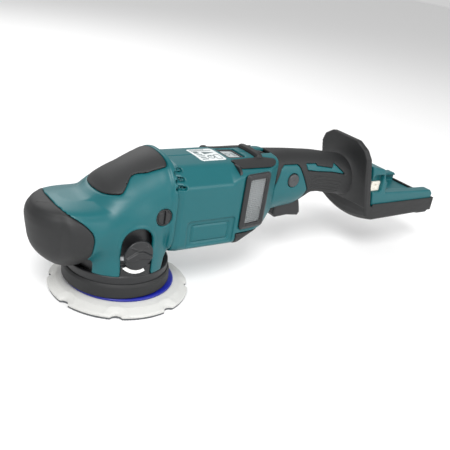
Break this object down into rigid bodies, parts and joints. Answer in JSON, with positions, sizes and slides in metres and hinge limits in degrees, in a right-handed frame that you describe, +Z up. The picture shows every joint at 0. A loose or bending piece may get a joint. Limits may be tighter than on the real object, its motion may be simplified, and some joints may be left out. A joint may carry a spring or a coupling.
{
  "type": "dual action polisher",
  "caption": "Battery dual action polisher: orbital backing pad on a geared eccentric drive, teal motor body, rubber nose and top grip, trigger handle and open rear battery mount.",
  "frame": {"origin": "the main spindle's axis at the pad's working face", "axes": "+X rearwards along the tool to the battery mount, +Z up out of the pad along the spindle, +Y to the tool's right"},
  "size_m": [0.55, 0.15, 0.158],
  "materials": {
    "hook_nylon": "matte hooks",
    "pad_foam": "moulded foam",
    "hub_blue": "moulded satin",
    "gear_nylon": "moulded",
    "steel": "ground",
    "cast_alloy": "die cast",
    "counterweight_iron": "as cast",
    "black_plastic": "fine spark texture",
    "black_rubber": "matte overmould",
    "felt": "pressed felt",
    "teal_plastic": "satin",
    "white_mark": "printed",
    "laminations": "stamped stack",
    "copper_wire": "enamelled",
    "label_film": "printed film",
    "lens_plastic": "clear moulded",
    "grey_plastic": "satin",
    "circuit_board": "potted board",
    "lead_insulation": "extruded",
    "contact_brass": "stamped"
  },
  "bodies": {
    "housing": {"spindle_bearings": "steel", "ring_gear": "steel", "gear_housing": "cast_alloy", "lower_housing": "black_plastic", "skirt": "black_rubber", "dust_seal": "felt", "head_cover": "teal_plastic", "nose_bumper": "black_rubber", "top_grip": "black_rubber", "side_plugs": "black_plastic", "head_screws": "steel", "knob_mark": "white_mark", "lock_pin": "steel", "motor_housing_left": "teal_plastic", "motor_housing_right": "teal_plastic", "stator_core": "laminations", "stator_windings": "copper_wire", "motor_bearings": "steel", "bearing_holder": "black_plastic", "label_plate": "label_film", "window_lens": "lens_plastic", "dial_pin": "steel", "bridge_strap": "black_rubber", "handle_shell_left": "teal_plastic", "handle_shell_right": "teal_plastic", "handle_grip": "black_rubber", "trigger_pin": "steel", "switch_body": "black_plastic", "controller": "circuit_board", "power_leads": "lead_insulation", "housing_screws": "steel", "rear_guard": "black_plastic", "battery_mount": "teal_plastic", "terminal_block": "black_plastic", "terminal_blades": "contact_brass"},
    "spindle": {"spindle": "steel", "eccentric_hub": "cast_alloy", "counterweight": "counterweight_iron", "pad_bearings": "steel", "bevel_gear": "steel", "gear_nut": "steel"},
    "rotor": {"rotor_shaft": "steel", "rotor_core": "laminations", "cooling_fan": "gear_nylon", "drive_pinion": "steel"},
    "pad": {"hook_face": "hook_nylon", "foam_pad": "pad_foam", "hub_plate": "hub_blue", "pad_gear": "gear_nylon", "pad_arbor": "steel", "pad_bolt": "steel"},
    "mode_knob": {"mode_knob": "black_plastic"},
    "lock_button": {"lock_button": "grey_plastic"},
    "trigger": {"trigger": "black_plastic"},
    "speed_dial": {"speed_dial": "black_plastic"},
    "filter_left": {"filter_cover_left": "black_plastic", "filter_mesh_left": "steel"},
    "filter_right": {"filter_cover_right": "black_plastic", "filter_mesh_right": "steel"}
  },
  "joints": [
    {"name": "spindle_spin", "type": "hinge", "parent": "housing", "child": "spindle", "pos_m": [0, 0, 0.06], "axis": [0, 0, 1], "continuous": true},
    {"name": "rotor_spin", "type": "hinge", "parent": "housing", "child": "rotor", "pos_m": [0.03, 0, 0.096], "axis": [1, 0, 0], "continuous": true},
    {"name": "pad_spin", "type": "hinge", "parent": "spindle", "child": "pad", "pos_m": [0.00475, 0, 0.03], "axis": [0, 0, 1], "continuous": true},
    {"name": "mode_turn", "type": "hinge", "parent": "housing", "child": "mode_knob", "pos_m": [-0.004, -0.05, 0.062], "axis": [0, -1, 0], "range_deg": [0, 180]},
    {"name": "lock_press", "type": "slide", "parent": "housing", "child": "lock_button", "axis": [0, 1, 0], "range_m": [0, 0.003], "stiffness_N_per_m": 400, "springref_m": -0.001},
    {"name": "trigger_pull", "type": "hinge", "parent": "housing", "child": "trigger", "pos_m": [0.2, 0, 0.086], "axis": [0, -1, 0], "range_deg": [0, 8], "stiffness_Nm_per_rad": 2, "springref_deg": -5.73},
    {"name": "dial_turn", "type": "hinge", "parent": "housing", "child": "speed_dial", "pos_m": [0.167, 0, 0.1296], "axis": [0, 1, 0], "range_deg": [0, 240]},
    {"name": "filter_left_off", "type": "slide", "parent": "housing", "child": "filter_left", "axis": [0.1458, -0.9893, 0], "range_m": [0, 0.02]},
    {"name": "filter_right_off", "type": "slide", "parent": "housing", "child": "filter_right", "axis": [0.1458, 0.9893, 0], "range_m": [0, 0.02]}
  ],
  "couplings": [
    {"joint": "rotor_spin", "follows": "spindle_spin", "ratio": 3.0909},
    {"joint": "pad_spin", "follows": "spindle_spin", "ratio": -1.1143}
  ]
}
